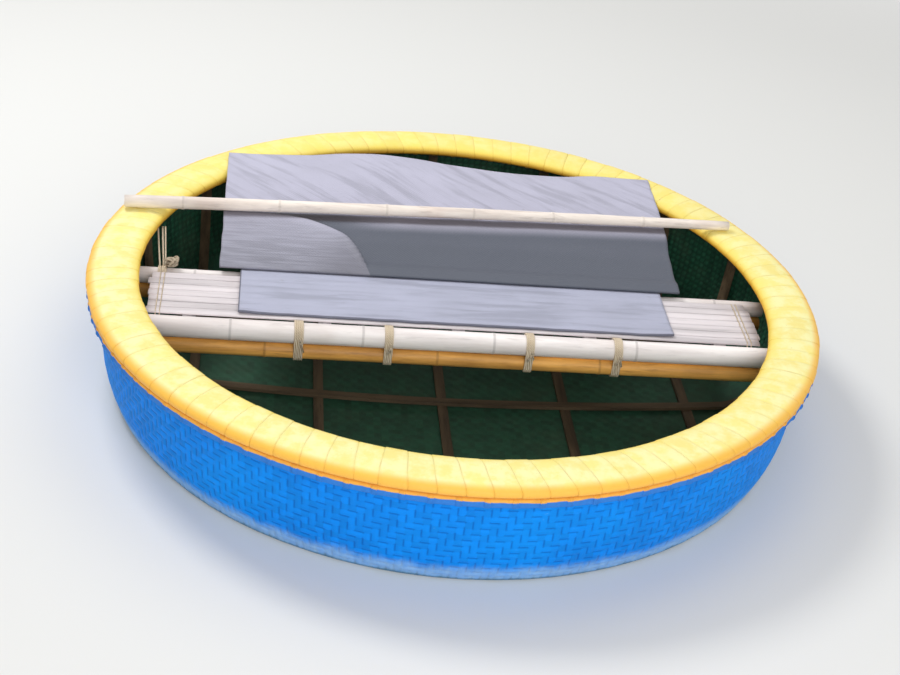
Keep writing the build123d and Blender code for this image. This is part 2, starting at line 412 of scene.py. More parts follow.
def wood(
    name, colour, stretch,
    dark=0.70, light=1.06, rough=0.62, stain=(0.40, 0.33, 0.27), ring=0.4,
):
    """Weathered wood or cane whose grain is drawn out by the stretch."""
    finish = Finish(name, specular_ior_level=0.3)
    grain = finish.cloud(finish.place(scale=stretch), 22.0, 6.0, 0.62)
    fine = finish.cloud(finish.place(scale=stretch), 90.0, 4.0, 0.6)
    patch = finish.cloud(finish.place(), 4.5, 4.0)
    knot = finish.attribute("relief").step(0.25, 0.9)
    finish.coat(
        finish.tint(grain.step(0.30, 0.68), colour, dark, light),
        (fine.step(0.56, 0.72) * 0.45, colour, dark * 0.86),
        (patch.step(0.50, 0.80) * 0.42, stain),
        (knot * ring, colour, dark * 0.62),
    )
    finish.feed("Roughness", rough + 0.25 * (grain - 0.5))
    finish.bump(grain + fine * 0.6, 0.0016, 0.6)
    return finish.material


def cord_fibre(paint):
    """Twisted straw cord: slanting strands from the piece's own UV map."""
    finish = Finish("cord_straw", roughness=0.85, specular_ior_level=0.2)
    dark = (0.73, 0.64, 0.51)
    around, along, _ = finish.parts(finish.place("UV"))
    twist = ((around * 3.0 + along * 160.0) * TURN).math("SINE") * 0.5 + 0.5
    dust = finish.cloud(finish.place(), 90.0, 3.0)
    finish.coat(
        finish.mix(twist, shade(dark), shade(paint.cord, 1.04)),
        (dust.step(0.5, 0.8) * 0.35, dark, 0.95),
    )
    finish.bump(twist, 0.0008, 0.8)
    return finish.material


def mat_cloth(name, colour, counts, streak_turn=0.0):
    """Plain woven mat; counts are its strands over the width and the length.

    Returns the finish with its colour and its broad patches, for more layers.
    """
    finish = Finish(name, specular_ior_level=0.35)
    across, along, _ = finish.parts(finish.place("UV"))
    warp = (across * (counts[0] * math.pi)).math("SINE")
    weft = (along * (counts[1] * math.pi)).math("SINE")
    weave = (warp * weft) * 0.5 + 0.5
    spot = finish.place()
    patch = finish.cloud(spot, 5.5, 5.0, 0.6)
    streaks = finish.place(scale=(1.0, 9, 1), turn=(0, 0, streak_turn))
    streak = finish.cloud(streaks, 3.4, 5.0, 0.6)
    fleck = finish.cloud(spot, 48.0, 4.0, 0.7).step(0.64, 0.76)
    woven = finish.coat(
        finish.tint(patch, colour, 0.90, 1.05),
        (streak.step(0.46, 0.66) * 0.6, colour, 0.80),
        (fleck * 0.3, (0.47, 0.43, 0.42)),
        (weave * 0.16, colour, 0.62),
    )
    finish.feed("Roughness", 0.54 + 0.2 * (patch - 0.5))
    finish.bump(weave, 0.0009, 0.7)
    return finish, woven, patch


def seat_mat_cloth(paint):
    """The seat's woven mat, with painted shade along its front and left edges."""
    finish, woven, _ = mat_cloth("mat_seat", paint.seat_mat, (236, 50))
    across, along, _ = finish.parts(finish.place("UV"))
    # Painted shade along the front and left edges, below the mat's thickness
    edge_shade = (1.0 - along.step(0.008, 0.018)).math("MAXIMUM", 1.0 - across.step(0.0015, 0.0035))
    finish.coat(woven, (edge_shade * 0.72, (0.27, 0.28, 0.34)))
    return finish.material


def above_zero(value):
    """The value or zero, for a number or a socket."""
    return value.math("MAXIMUM", 0.0) if isinstance(value, Socket) else max(0.0, value)


def fold_line(x):
    """Where the rear mat's fold lies along Y, for a number or a socket."""
    past, drop = above_zero(x + 0.5), above_zero(x + 0.31)
    return 0.312 - past * past * 1.84 - drop * drop * 18.0


def pole_line(x):
    """Where the middle of the pole lies along Y, for a number or a socket."""
    slope = (pole_high.y - pole_low.y - sum(pole_radii)) / (pole_high.x - pole_low.x)
    return (x - pole_low.x) * slope + (pole_low.y + pole_radii[0])


def rear_mat_cloth(paint):
    """The woven mat with painted shade on the front panel and on the slope beyond its fold, a
    painted highlight along the fold and a painted shadow under the pole.
    """
    finish, woven, patch = mat_cloth("mat_rear", paint.rear_mat, (260, 124), -0.75)
    x, y, _ = finish.parts(finish.place())
    behind_pole = y - pole_line(x) + (patch - 0.5) * 0.006
    past_fold = y - fold_line(x) + (patch - 0.5) * 0.008
    front = 1.0 - behind_pole.step(0.0, 0.020)
    fine = finish.cloud(finish.place(scale=(1, 14, 1)), 9.0, 4.0)
    # Painted highlight along the fold's edge, near the pole
    edge = past_fold.step(-0.045, -0.004) * y.step(0.22, 0.27)
    grey = paint.rear_front_shade
    # Painted shade on the front panel: lighter towards the pole, darker towards the lower right
    panel = finish.coat(
        finish.tint(fine.step(0.35, 0.65), grey, 0.90, 1.08),
        (y.step(0.10, 0.27) * 0.35, paint.rear_mat, 0.92),
        ((x - y).step(-0.62, -0.36) * 0.8, grey, 0.74),
        (edge * 0.5, paint.rear_mat, 0.96),
    )
    # Painted shade on the slope beyond the fold, with a lighter band left out near the pole on the
    # right
    band = behind_pole.step(-0.060, -0.022) * x.step(-0.34, -0.12)
    dark = past_fold.step(-0.001, 0.007) * (1.0 - band) * front
    # Painted shadow of the pole, a dark strip just in front of it
    pole_shadow = 1.0 - (behind_pole + 0.008).math("ABSOLUTE").step(0.008, 0.022)
    finish.coat(
        finish.mix(front * 0.92, woven, panel),
        (dark * 0.94, paint.rear_shade),
        (pole_shadow * 0.6, (0.32, 0.28, 0.28)),
    )
    return finish.material


# ---- Mesh helpers


def shaped_grid(bm, columns, rows, point, relief=None):
    """A grid laid out by point(column, row), with a UV map and perhaps a stored relief."""
    sheet_map = bm.loops.layers.uv.verify()
    stored = bm.verts.layers.float.new("relief") if relief else None
    made = bmesh.ops.create_grid(bm, x_segments=columns, y_segments=rows, size=0.5)["verts"]
    for face in {face for vert in made for face in vert.link_faces}:
        for loop in face.loops:
            loop[sheet_map].uv = loop.vert.co.xy + Vector((0.5, 0.5))
    for vert in made:
        column = round((vert.co.x + 0.5) * columns)
        row = round((vert.co.y + 0.5) * rows)
        vert.co = point(column, row)
        if relief:
            vert[stored] = relief(column, row)
    return made


def close_up(bm):
    """Merges seams and poles and turns all faces outwards."""
    bmesh.ops.remove_doubles(bm, verts=bm.verts, dist=1e-6)
    flat = [face for face in bm.faces if face.calc_area() < 1e-12]
    bmesh.ops.delete(bm, geom=flat, context="FACES_ONLY")
    bmesh.ops.recalc_face_normals(bm, faces=bm.faces)


def put(name, data):
    """A new object at the origin."""
    made = bpy.data.objects.new(name, data)
    bpy.context.scene.collection.objects.link(made)
    return made


def put_mesh(name, bm, finishes):
    """A new object from a bmesh, with its finishes."""
    mesh = bpy.data.meshes.new(name)
    bm.to_mesh(mesh)
    bm.free()
    for finish in finishes:
        mesh.materials.append(finish)
    return put(name, mesh)


def piece(name, bm, finishes, slot, nodes=(), closed=True):
    """Makes the object and puts it on the hull's body."""
    if closed:
        close_up(bm)
    made = put_mesh(name, bm, finishes)
    made.data.shade_smooth()
    if nodes:
        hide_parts(*nodes)
    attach(made, "root")
    return made


def strand(bm, path, radius, sides=6, across=Vector((1, 0, 0)), mark=None):
    """A closed cord or bar along a path; across is a direction that it never runs in.

    The radius is a number or a function of the row, and mark is the relief to store.
    """
    size_at = radius if callable(radius) else lambda row: radius
    last = len(path) - 1
    frames = []
    for row, spot in enumerate(path):
        heading = (path[min(row + 1, last)] - path[max(row - 1, 0)]).normalized()
        side = heading.cross(across).normalized()
        frames.append((spot, side, heading.cross(side)))

    def point(column, row):
        if row in (0, last + 2):
            return path[0 if row == 0 else last]
        spot, side, up = frames[row - 1]
        angle = TURN * column / sides
        return spot + (side * math.cos(angle) + up * math.sin(angle)) * size_at(row - 1)

    relief = mark and (lambda column, row: mark(min(max(row - 1, 0), last)))
    return shaped_grid(bm, sides, last + 2, point, relief)


def lerp(low, high, share):
    return low + (high - low) * share


def smooth(share):
    """A soft rise from 0 to 1."""
    share = max(0.0, min(1.0, share))
    return share * share * (3 - 2 * share)


def bell(value):
    """1 at zero, falling softly to 0 on both sides."""
    return math.exp(-(value**2))


def squarer(value, power):
    """A sine or cosine drawn towards -1 and 1, which squares a round outline."""
    return math.copysign(abs(value) ** power, value)


def ripple(x, y, z=0.0):
    """Even noise from about -1 to 1."""
    return noise.noise(Vector((x, y, z)))


def round_boat(radius, angle, height):
    """A point at a radius and an angle about the boat's middle."""
    return Vector((radius * math.cos(angle), radius * math.sin(angle), height))


# ---- Hull skin


def leaning(angle):
    """The outward normal in the section, leaning down by the angle."""
    return Vector((math.cos(angle), -math.sin(angle)))


def section_point(share):
    """A point of the outer section and its normal, from 0 at the rim to 4 at the keel."""
    top = Vector((hull_high.x, hull_high.z))
    drop = hull_high.z - bilge_top
    start = top - Vector((drop * math.tan(side_flare), drop))
    if share <= 1:
        return top.lerp(start, share), leaning(side_flare)
    for radius, first, last in (bilge_arc, turn_arc, (None, *dome_leans)):
        share -= 1
        radius = radius or start.x / math.cos(first)
        centre = start - radius * leaning(first)
        if share <= 1:
            lean = lerp(first, last, share)
            return centre + radius * leaning(lean), leaning(lean)
        start = centre + radius * leaning(last)
    return start, leaning(last)


# Lengths of the straight side and of the bilge's arc, down the woven wall
wall_runs = (
    (hull_high.z - bilge_top) / math.cos(side_flare),
    bilge_arc[0] * (bilge_arc[2] - bilge_arc[1]),
)


def wall_share(distance):
    """The section share at a distance down the wall from its top edge."""
    side, bilge = wall_runs
    if distance <= side:
        return distance / side
    return 1 + min(1.0, (distance - side) / bilge)


def weave_height(column, row):
    """Relief of a two over, two under weave, three grid steps to a strip."""
    crest, flank, bend, groove, corner = 1.0, 0.8, 0.1, -0.7, -0.6
    cell, step_across = divmod(column, 3)
    strip, step_down = divmod(row, 3)

    def on_top(c, s):
        return (c + s) % 4 < 2

    here = on_top(cell, strip)
    if step_across and step_down:
        return crest if here else flank
    if not step_across and not step_down:
        return corner
    if not step_across:
        before = on_top(cell - 1, strip)
        return crest if here and before else (groove if not here and not before else bend)
    before = on_top(cell, strip - 1)
    return flank if not here and not before else (groove if here and before else bend)


def make_woven_skin(shape, paint):
    columns = shape.weave_cells * 3
    wall_length = sum(wall_runs)
    outer_rows, inner_rows, plain_rows = shape.weave_rows * 3, shape.weave_rows * 2, 9
    dent_depth, undented_radius = 0.0014, 0.2
    # Stations from the keel up the outside and down the inside: section share, inset
    # and weave row, or None below the woven wall
    stations = [(4 - 2 * i / plain_rows, 0.0, None) for i in range(plain_rows)]
    stations += [
        (wall_share(wall_length * row / outer_rows), 0.0, row)
        for row in range(outer_rows, -1, -1)
    ]
    outside = len(stations) - 1
    stations += [
        (wall_share(wall_length * row / inner_rows), skin_wall, row * 1.5)
        for row in range(0, inner_rows + 1)
    ]
    stations += [(2 + 2 * i / plain_rows, skin_wall, None) for i in range(1, plain_rows + 1)]
    rows = len(stations) - 1

    def lift(column, row):
        """Height of the weave at a grid point, from -1 in a gap to 1 on a strip."""
        _, inset, weave_row = stations[row]
        if weave_row is None or not 0 < weave_row < outer_rows:
            return 0.0
        if not inset:
            return weave_height(column % columns, int(weave_row))
        strip, crest = divmod(int(weave_row / 1.5), 2)
        raised = 1.0 if (column // 3 + strip) % 2 else 0.3
        return raised if column % 3 and crest else -0.6

    def point(column, row):
        share, inset, _ = stations[row]
        spot, normal = section_point(share)
        out = -1 if inset else 1
        spot += normal * (out * shape.weave_relief * lift(column, row) - inset)
        angle = TURN * (column % columns) / columns
        dent = dent_depth * ripple(3 * math.cos(angle), 3 * math.sin(angle), spot.y * 9)
        radius = spot.x + (dent if spot.x > undented_radius else 0.0)
        return round_boat(0.0 if row in (0, rows) else radius, angle, spot.y)

    bm = bmesh.new()
    shaped_grid(bm, columns, rows, point, lift)
    sheet_map = bm.loops.layers.uv.verify()
    for face in bm.faces:
        across = sum(loop[sheet_map].uv.y for loop in face.loops) / len(face.loops)
        face.material_index = 0 if across * rows < outside else 1
    finishes = [hull_paint(paint, shape, rows), inside_coat(paint)]
    piece("woven_skin", bm, finishes, "hull_blue", ["woven_hull"])


# ---- Rim


def cap_outline(turn, depth):
    """Radius and height of the cap's section: round shoulders over a flat underside."""
    across, up = math.cos(turn), math.sin(turn)
    half = cap_width / 2 - depth
    radius = rim_high.x - cap_width / 2 + squarer(across, 0.78) * half
    if up > 0:
        return radius, cap_brow + (rim_high.z - cap_brow - depth) * up**0.82
    return radius, cap_brow - (cap_brow - rim_low.z) * abs(up) ** 0.5


def make_wrapped_rim(shape, paint):
    draw = random.Random(11)
    swell = [draw.uniform(-0.0012, 0.0007) for _ in range(shape.rim_wraps)]
    lean = [draw.uniform(0.6, 1.5) for _ in range(shape.rim_wraps)]
    # Grid columns of one wrap: place across it and share of the seam's depth
    stops = (
        (0.0, 1.0), (0.020, 0.30), (0.060, 0.07), (0.20, 0.0),
        (0.5, 0.0), (0.80, 0.0), (0.940, 0.07), (0.980, 0.30),
    )
    around = 32
    columns = shape.rim_wraps * len(stops)

    def point(column, row):
        wrap, stop = divmod(column % columns, len(stops))
        place, seam = stops[stop]
        turn = TURN * row / around - math.pi / 2
        radius, height = cap_outline(turn, shape.seam_depth * seam - swell[wrap] * (1 - seam))
        following = lean[(wrap + 1) % shape.rim_wraps]
        slant = shape.seam_slant * lerp(lean[wrap], following, place) * math.cos(turn)
        return round_boat(radius, TURN * (wrap + place + slant) / shape.rim_wraps, height)

    bm = bmesh.new()
    shaped_grid(bm, columns, around, point)
    piece("wrapped_rim", bm, [rim_paint(paint, shape)], "rim_yellow", ["rim_cap"])


def hoop_outline(turn, middle, half, swell=0.0):
    """Two canes side by side in one hoop's section, with a groove between them."""
    across, up = math.cos(turn), math.sin(turn)
    groove = 0.16 * bell(up / 0.22)
    wide = (half.x * (1 - groove) + swell) * squarer(across, 0.6)
    return middle.x + wide, middle.y + (half.y + swell * 0.4) * squarer(up, 0.7)


def make_hoops(shape, paint):
    steps, around, binding_sides = 384, 18, 14
    wraps = shape.rim_wraps
    hoop_width = 0.032
    # The canes lie a little inside their node's box, under the bindings
    inset, waver = -0.0008, 0.0007
    # Three cord turns of one binding: place across it and lift, both in millimetres, and
    # the ends closed on the hoop's middle
    bars = (
        (-8, None), (-8, -1), (-6, 2.6), (-3, 1.0), (0, 3.0),
        (3, 1.0), (6, 2.6), (8, -1), (8, None),
    )
    for node, side in (("outer_rim_hoop", 1), ("inner_rim_hoop", -1)):
        low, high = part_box(node)
        finish = hoop_paint(f"{node}_paint", paint, side > 0)
        middle = Vector((high.x - hoop_width / 2, (low.z + high.z) / 2))
        half = Vector((hoop_width / 2, (high.z - low.z) / 2))

        def hoop_point(column, row):
            angle = TURN * (column % steps) / steps
            radius, height = hoop_outline(TURN * row / around, middle, half, inset)
            radius += waver * ripple(9 * math.cos(angle), 9 * math.sin(angle), side)
            return round_boat(radius, angle, height)

        bm = bmesh.new()
        shaped_grid(bm, steps, around, hoop_point)
        piece(node.replace("rim", "cane"), bm, [finish], "hoop_orange", [node])

        def binding_point(column, row):
            offset, lift = bars[column]
            turn = TURN * row / binding_sides
            # The cord rises on the hoop's bare side and below, and sinks where it is gripped
            bare = max(0.0, side * math.cos(turn), -0.8 * math.sin(turn)) ** 0.6
            if lift is None:
                radius, height = middle.x, middle.y
            else:
                raised = lerp(-0.0014, lift * 0.001, bare)
                radius, height = hoop_outline(turn, middle, half, raised)
            return Vector((radius, offset * 0.001, height))

        bm = bmesh.new()
        shaped_grid(bm, len(bars) - 1, binding_sides, binding_point)
        bmesh.ops.spin(
            bm, geom=bm.verts[:] + bm.edges[:] + bm.faces[:], cent=(0, 0, 0), axis=(0, 0, 1),
            dvec=(0, 0, 0), angle=TURN * (wraps - 1) / wraps, steps=wraps - 1, use_duplicate=True,
        )
        piece(node.replace("rim_hoop", "hoop_bindings"), bm, [finish], "hoop_orange")


# ---- Bench


def bar(node):
    """Y and height of a level bar's middle, and its radius."""
    low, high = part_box(node)
    return (low.y + high.y) / 2, (low.z + high.z) / 2, (high.z - low.z) / 2


def cane(bm, start, end, radii, knots, bow, swell, seed):
    """A cane or pole with raised knots, a slight bow and soft, uneven sides."""
    sides, spacing, knot_length, wander, end_share = 20, 0.045, 0.004, 0.0006, 0.93
    length = (end - start).length
    count = round(length / spacing)
    # Stations along the cane, closer together at its knots
    places = {round(length * i / count, 5) for i in range(count + 1)}
    for gap in (-0.014, -0.006, -0.002, 0.002, 0.006, 0.014):
        places |= {round(length * knot + gap, 5) for knot in knots}
    places = sorted(place for place in places if 0 <= place <= length)
    shares = [place / length for place in places]
    path = [start.lerp(end, share) + bow * math.sin(math.pi * share) for share in shares]

    def knot_near(row):
        return sum(bell((places[row] - knot * length) / knot_length) for knot in knots)

    def radius(row):
        uneven = wander * ripple(shares[row] * 14, seed)
        size = lerp(*radii, shares[row]) + uneven + swell * knot_near(row)
        return size * (end_share if row in (0, len(path) - 1) else 1.0)

    strand(bm, path, radius, sides, across=Vector((0, 0, 1)), mark=knot_near)


def make_rails(shape, paint):
    stretch = (0.10, 1, 1)
    pale = wood("bamboo_pale", paint.rail, stretch, 0.90, 1.05, 0.55, (0.74, 0.64, 0.58))
    brown = wood("beam_brown", paint.beam, stretch, 0.72, 1.10, 0.45, (0.42, 0.24, 0.12))
    # Node, knot places along it, sag, swell of its knots, finish and its slot
    rows = (
        ("front_rail", (0.17, 0.36, 0.55, 0.76), 0.0, 0.0010, pale, "bamboo_pale"),
        ("back_rail", (0.12, 0.31, 0.52, 0.70, 0.90), 0.002, 0.0010, pale, "bamboo_pale"),
        ("front_beam", (0.22, 0.47, 0.71), 0.0, 0.0016, brown, "beam_brown"),
        ("back_beam", (0.15, 0.40, 0.62, 0.86), 0.0, 0.0016, brown, "beam_brown"),
    )
    for seed, (node, knots, sag, swell, finish, slot) in enumerate(rows):
        low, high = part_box(node)
        y, level, radius = bar(node)
        bm = bmesh.new()
        cane(
            bm, Vector((low.x, y, level)), Vector((high.x, y, level)),
            (radius * 0.985, radius * 0.96), knots, Vector((0, 0, -sag)), swell, seed,
        )
        piece(f"cane_{node}", bm, [finish], slot, [node])


def make_slats(shape, paint):
    draw = random.Random(5)
    around, along = 12, 46
    end_trim, knot_height, knot_length = 0.010, 0.0012, 0.018
    crown_height, side_bulge, face_inset = 0.0009, 0.0006, 0.0008
    bm = bmesh.new()
    names = [f"slat_{i + 1}" for i in range(7)]
    for seed, name in enumerate(names):
        low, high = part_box(name)
        middle, half = (low + high) / 2, (high - low) / 2
        left_end = low.x + draw.uniform(0.0, end_trim)
        right_end = high.x - draw.uniform(0.0, end_trim)
        knots = [draw.uniform(-0.7, 0.7) for _ in range(3)]

        def point(column, row):
            share = min(1.0, max(0.0, (row - 1) / (along - 2)))
            x = lerp(left_end, right_end, share)
            y = middle.y + shape.slat_wander * ripple(x * 2.5, seed * 7.3)
            z = middle.z + shape.slat_wander * 0.5 * ripple(x * 3.1, seed * 3.7, 4)
            if row in (0, along):
                return Vector((x, y, z))
            turn = TURN * (column + 0.5) / around
            across, up = math.cos(turn), math.sin(turn)
            knot = knot_height * sum(bell((x - k) / knot_length) for k in knots)
            wide = (half.y + side_bulge) * squarer(across, 0.4)
            crown = crown_height * (1 - across * across) if up > 0 else 0.0
            tall = (half.z - face_inset + knot) * squarer(up, 0.6) + crown
            return Vector((x, y + wide, z + tall))

        shaped_grid(bm, around, along, point)
    finish = wood("slat_bleached", paint.slat, (0.05, 1, 1), 0.84, 1.04, 0.66, (0.68, 0.62, 0.60))
    piece("deck_slats", bm, [finish], "bamboo_pale", names)


def hugging_loop(bars, gap, x_start, x_end, turns, samples=18):
    """Points of a cord wound round level bars, each given as bar() gives it."""
    path = []
    for i in range(turns * samples + 1):
        angle = TURN * i / samples
        out = Vector((0, math.cos(angle), math.sin(angle)))
        choices = []
        for y, z, radius in bars:
            centre = Vector((0, y, z))
            choices.append((centre.dot(out) + radius, centre + out * (radius + gap)))
        spot = max(choices, key=lambda choice: choice[0])[1]
        path.append(spot + Vector((lerp(x_start, x_end, i / (turns * samples)), 0, 0)))
    return path


def make_lashings(shape, paint):
    draw = random.Random(23)
    finish = cord_fibre(paint)
    cord, knot_inset, knot_drop, bead_length = 0.0026, 0.006, 0.004, 0.010
    for side, out in (("front", -1), ("back", 1)):
        bars = [bar(f"{side}_rail"), bar(f"{side}_beam")]
        y, z, radius = bars[0]
        bm = bmesh.new()
        names = [f"{side}_lashing_{i + 1}" for i in range(4)]
        for name in names:
            low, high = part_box(name)
            last = high.x - cord + draw.uniform(0, 0.004)
            path = hugging_loop(bars, cord, low.x + cord, last, shape.lashing_turns)
            strand(bm, path, cord, 7)
            # The knot that ends the turns, with two short tails
            knot = Vector((high.x - knot_inset, y + out * (radius + 0.004), z - knot_drop))
            for _ in range(2):
                drop = draw.uniform(0.018, 0.034)
                reach = draw.uniform(-0.012, 0.012)
                ends = [
                    knot,
                    knot + Vector((reach * 0.3, out * 0.004, -drop * 0.4)),
                    knot + Vector((reach, out * 0.003, -drop)),
                ]
                strand(bm, ends, cord * 0.7, 6)
            bead = [
                knot + Vector((bead_length * (i / 4 - 0.5), out * 0.001, 0)) for i in range(5)
            ]
            strand(
                bm, bead, lambda row: 0.0022 + 0.0022 * math.sin(math.pi * row / 4), 8,
                across=Vector((0, 0, 1)),
            )
        piece(f"{side}_cord_lashings", bm, [finish], "cord_straw", names)


def make_slat_ties(finish):
    """Two thin cords over each end of the slats, which dip into the gaps."""
    first, last, overhang, steps = slat_low.y, last_slat_high.y, 0.004, 56
    # Six pitches and nine tenths of one for the last slat
    pitch = (last - first) / 6.9
    tie, clearance, sink, end_drop, waver = 0.0016, 0.0014, 0.0020, 0.010, 0.0012
    bm = bmesh.new()
    for x in (-0.797, 0.797, -0.808, 0.808):
        path = []
        for i in range(steps + 1):
            share = i / steps
            y = lerp(first - overhang, last + overhang, share)
            gap = 0.5 + 0.5 * math.cos(TURN * (y - first + 0.0015) / pitch)
            end = smooth(min(share, 1 - share) / 0.03)
            z = deck_top + clearance - sink * gap**6 - end_drop * (1 - end)
            path.append(Vector((x + waver * ripple(y * 20, x), y, z)))
        strand(bm, path, tie, 6)
    piece("slat_end_ties", bm, [finish], "cord_straw")


def make_corner_strings(finish):
    """Strings from the back rail's left end to the rim, and a hank of spare cord."""
    draw = random.Random(31)
    string, hank_cord, hank_turns = 0.0026, 0.0030, 9
    rail = bar("back_rail")
    corner = Vector((-0.806, rail[0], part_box("back_rail")[1].z))
    hook_x, hook_y, steps = -0.822, 0.262, 12
    sag = Vector((0, 0, -0.004))
    bm = bmesh.new()
    for shift in (-0.012, 0.004, 0.014):
        hook = Vector((hook_x + shift * 0.8, hook_y, rim_low.z - 0.001))
        foot = corner + Vector((shift * 0.6, 0.004, 0.002))
        shares = [i / steps for i in range(steps + 1)]
        path = [hook.lerp(foot, share) + sag * math.sin(math.pi * share) for share in shares]
        strand(bm, path, string, 6)
        loop = hugging_loop([rail], string, foot.x - 0.004, foot.x + 0.004, 2)
        strand(bm, loop, string, 6)
    # The hank, wound up beside the strings
    for _ in range(hank_turns):
        size = draw.uniform(0.012, 0.019)
        middle = corner + Vector((draw.uniform(0.014, 0.036), draw.uniform(-0.004, 0.008), 0.021))
        axis = draw.uniform(-1, 1), draw.uniform(-0.4, 0.4), 1
        turned = Quaternion(axis, draw.uniform(0, TURN))
        ring = []
        for i in range(17):
            angle = TURN * i / 16
            out = Vector((math.cos(angle), 0, 0.7 * math.sin(angle))) * size
            ring.append(middle + turned @ (out * (1 + 0.15 * ripple(angle, size * 900))))
        strand(bm, ring, hank_cord, 6, across=turned @ Vector((0, 1, 0)))
    piece("corner_strings", bm, [finish], "cord_straw")


def make_ties(shape, paint):
    finish = cord_fibre(paint)
    make_slat_ties(finish)
    make_corner_strings(finish)


# ---- Mats and pole


def thicken(mat, thickness):
    """Gives a mat its thickness on both sides of its surface."""
    wall = mat.modifiers.new("thickness", "SOLIDIFY")
    wall.thickness = thickness
    wall.offset = 0.0


def make_seat_mat(shape, paint):
    low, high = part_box("seat_mat")
    thickness, columns, rows = 0.0062, 148, 40
    slat_pitch, slat_print, buckle = 0.0313, 0.0007, 0.0013
    frayed, corner_lift = 0.0022, 0.0035

    def point(column, row):
        u, v = column / columns, row / rows
        x, y = lerp(low.x, high.x, u), lerp(low.y, high.y, v)
        ragged = frayed * ripple(x * 21, 3) * (1 - smooth(min(v, 1 - v) / 0.08))
        corner = smooth((abs(u - 0.5) - 0.42) / 0.08) * smooth((0.25 - v) / 0.25)
        z = low.z + thickness / 2 + 0.0005
        z += slat_print * math.sin(TURN * (y - low.y) / slat_pitch)
        z += buckle * abs(ripple(x * 3.5, y * 9, 2)) + corner_lift * corner
        return Vector((x, y + ragged, z))

    bm = bmesh.new()
    shaped_grid(bm, columns, rows, point)
    finish = seat_mat_cloth(paint)
    mat = piece("seat_mat_cloth", bm, [finish], "mat_grey", ["seat_mat"], closed=False)
    thicken(mat, thickness)


def rear_height(y, bend, start, rim_level):
    """The rear mat's plain height between the bench and the rim."""
    pole_dip, rim_start, rim_end = 0.011, 0.545, 0.72
    # Place and height of each bend of the mat, the second below the pole
    bends = (
        (start.y, start.z), (bend, rim_level - pole_dip),
        (rim_start, rim_level), (rim_end, rim_level),
    )
    for (y0, z0), (y1, z1) in zip(bends, bends[1:]):
        if y <= y1:
            return lerp(z0, z1, (y - y0) / (y1 - y0))
    return rim_level


def make_rear_mat(shape, paint):
    low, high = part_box("rear_mat")
    thickness, columns, rows = 0.006, 200, 150
    start = Vector((0, low.y, low.z + thickness / 2 + 0.001))
    rim_level = rim_high.z + 0.0045
    # Middle and reach along X of the free edge's arch and of the dip beside it
    arch_x, arch_reach, dip_x, dip_reach = -0.20, 0.21, 0.28, 0.16
    dip, crease, hollow, frayed, tuck, side_waver = 0.010, 0.008, 0.013, 0.004, 0.004, 0.003
    # Over this band of radius the mat comes to lie on the rim
    rim_edge, rim_band = 0.80, 0.06

    def point(column, row):
        u, v = column / columns, row / rows
        x, y = lerp(low.x, high.x, u), lerp(low.y, high.y, v)
        bend = pole_line(x)
        z = sum(rear_height(y + gap, bend, start, rim_level) for gap in (-0.03, 0, 0.03)) / 3
        # Behind the pole one part arches and one dips
        free = smooth((y - bend - 0.05) / 0.22)
        z += shape.mat_arch * free * bell((x - arch_x) / arch_reach)
        inside_rim = 1 - smooth((math.hypot(x, y) - rim_edge) / rim_band)
        z -= dip * free * bell((x - dip_x) / dip_reach) * inside_rim
        # Wrinkles, least where the mat is held
        loose = smooth((y - 0.10) / 0.08) * smooth((high.y - y) / 0.05 + 0.3)
        wave = ripple((x - y) * 1.6, (x + y) * 7, 6)
        behind = smooth((y - bend - 0.03) / 0.05)
        z += shape.mat_wrinkle * wave * loose * (0.25 + 0.75 * inside_rim * behind)
        # The fold: a soft crease with a hollow beyond it
        past = y - fold_line(x)
        ridge = bell(past / (0.030 if past < 0 else 0.007))
        valley = smooth(past / 0.022) * (1 - smooth((y - bend + 0.09) / 0.065))
        z += crease * ridge * smooth((y - 0.10) / 0.05)
        z -= hollow * valley * smooth((y - 0.11) / 0.05)
        far_edge = smooth((v - 0.9) / 0.1)
        side_edge = smooth((abs(u - 0.5) - 0.46) / 0.04)
        ragged = frayed * ripple(x * 9, 8) * far_edge - tuck * far_edge
        waver = side_waver * ripple(y * 14, u * 5) * side_edge
        return Vector((x + waver, y + ragged, z))

    bm = bmesh.new()
    shaped_grid(bm, columns, rows, point)
    finish = rear_mat_cloth(paint)
    mat = piece("rear_mat_cloth", bm, [finish], "mat_grey", ["rear_mat"], closed=False)
    thicken(mat, thickness)


def make_pole(shape, paint):
    left_radius, right_radius = pole_radii
    # The ends lie inside the node's box, and the pole clears the rim by a hair
    trim, gap = 0.001, 0.0006
    left = Vector((
        pole_low.x + trim, pole_low.y + left_radius, rim_high.z + left_radius + gap
    ))
    right = Vector((
        pole_high.x - trim, pole_high.y - right_radius, rim_high.z + right_radius + gap
    ))
    bow = Vector((0, 0.004, 0.003))
    bm = bmesh.new()
    cane(bm, left, right, pole_radii, (0.09, 0.24, 0.41, 0.55, 0.68, 0.83), bow, 0.0016, 9)
    stain = (0.76, 0.60, 0.52)
    finish = wood("pole_pale", paint.pole, (0.12, 1, 1), 0.86, 1.04, 0.42, stain, 0.22)
    piece("long_pole", bm, [finish], "pole_pale", ["pole"])


def finish_carried_parts(shape, paint):
    """Finishes for the ribs and crossbars, which keep their own shapes."""
    finishes = {
        "lower_rib": wood("rib_lower_cane", paint.rib, (1, 0.08, 0.4), 0.62, 1.12),
        "upper_rib": wood("rib_upper_cane", paint.rib, (0.08, 1, 0.4), 0.62, 1.12),
        "crossbar": wood("crossbar_cane", paint.slat, (1, 0.08, 1), 0.70, 0.96),
    }
    for name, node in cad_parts.items():
        finish = finishes.get(name.rpartition("_")[0])
        if finish:
            node.data.materials.clear()
            node.data.materials.append(finish)


# ---- Stage


